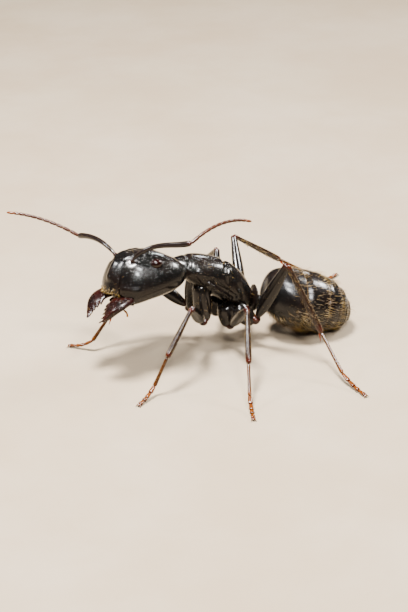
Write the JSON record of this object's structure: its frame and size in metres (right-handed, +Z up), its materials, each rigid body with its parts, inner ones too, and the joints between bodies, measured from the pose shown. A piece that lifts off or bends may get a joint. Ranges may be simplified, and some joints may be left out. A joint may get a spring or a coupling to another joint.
{
  "type": "carpenter ant",
  "caption": "Life-size still model of a large black carpenter ant worker, standing on its feet with elbowed feelers raised and toothed jaws half open.",
  "frame": {"origin": "on the floor, under the middle of the whole animal's box, feelers and feet included", "axes": "+Z up from the floor; the ant faces -X, with its left side towards -Y"},
  "size_m": [0.016, 0.0138, 0.0069],
  "materials": {
    "black_shell": "glossy black cuticle with fine pits, warm in the light",
    "gaster_shell": "satin black cuticle, finely ringed across, with straw-coloured plate edges",
    "thigh": "glossy brown-black cuticle",
    "shin": "glossy dark brown cuticle, redder towards its ends",
    "foot": "glossy amber to red-brown cuticle",
    "feeler_lash": "satin red-brown cuticle in short rings",
    "jaw": "glossy dark red-brown cuticle, coarsely pitted",
    "eye": "glossy dark brown, finely faceted",
    "golden_hair": "fine golden bristles"
  },
  "bodies": {
    "root": {"pronotum": "black_shell", "mesothorax": "black_shell", "propodeum": "black_shell", "head": "black_shell", "eye_left": "eye", "mandible_left": "jaw", "eye_right": "eye", "mandible_right": "jaw", "gaster_1": "gaster_shell", "gaster_2": "gaster_shell", "gaster_3": "gaster_shell", "gaster_4": "gaster_shell", "gaster_5": "gaster_shell", "scape_left": "thigh", "funiculus_left": "feeler_lash", "scape_right": "thigh", "funiculus_right": "feeler_lash", "petiole": "black_shell", "leg_left_fore_coxa": "black_shell", "leg_left_fore_trochanter": "thigh", "leg_left_fore_femur": "thigh", "leg_left_fore_tibia": "shin", "leg_left_fore_heel": "foot", "leg_left_fore_toes": "foot", "leg_left_mid_coxa": "black_shell", "leg_left_mid_trochanter": "thigh", "leg_left_mid_femur": "thigh", "leg_left_mid_tibia": "shin", "leg_left_mid_heel": "foot", "leg_left_mid_toes": "foot", "leg_left_hind_coxa": "black_shell", "leg_left_hind_trochanter": "thigh", "leg_left_hind_femur": "thigh", "leg_left_hind_tibia": "shin", "leg_left_hind_heel": "foot", "leg_left_hind_toes": "foot", "leg_right_fore_coxa": "black_shell", "leg_right_fore_trochanter": "thigh", "leg_right_fore_femur": "thigh", "leg_right_fore_tibia": "shin", "leg_right_fore_heel": "foot", "leg_right_fore_toes": "foot", "leg_right_mid_coxa": "black_shell", "leg_right_mid_trochanter": "thigh", "leg_right_mid_femur": "thigh", "leg_right_mid_tibia": "shin", "leg_right_mid_heel": "foot", "leg_right_mid_toes": "foot", "leg_right_hind_coxa": "black_shell", "leg_right_hind_trochanter": "thigh", "leg_right_hind_femur": "thigh", "leg_right_hind_tibia": "shin", "leg_right_hind_heel": "foot", "leg_right_hind_toes": "foot"}
  },
  "joints": []
}
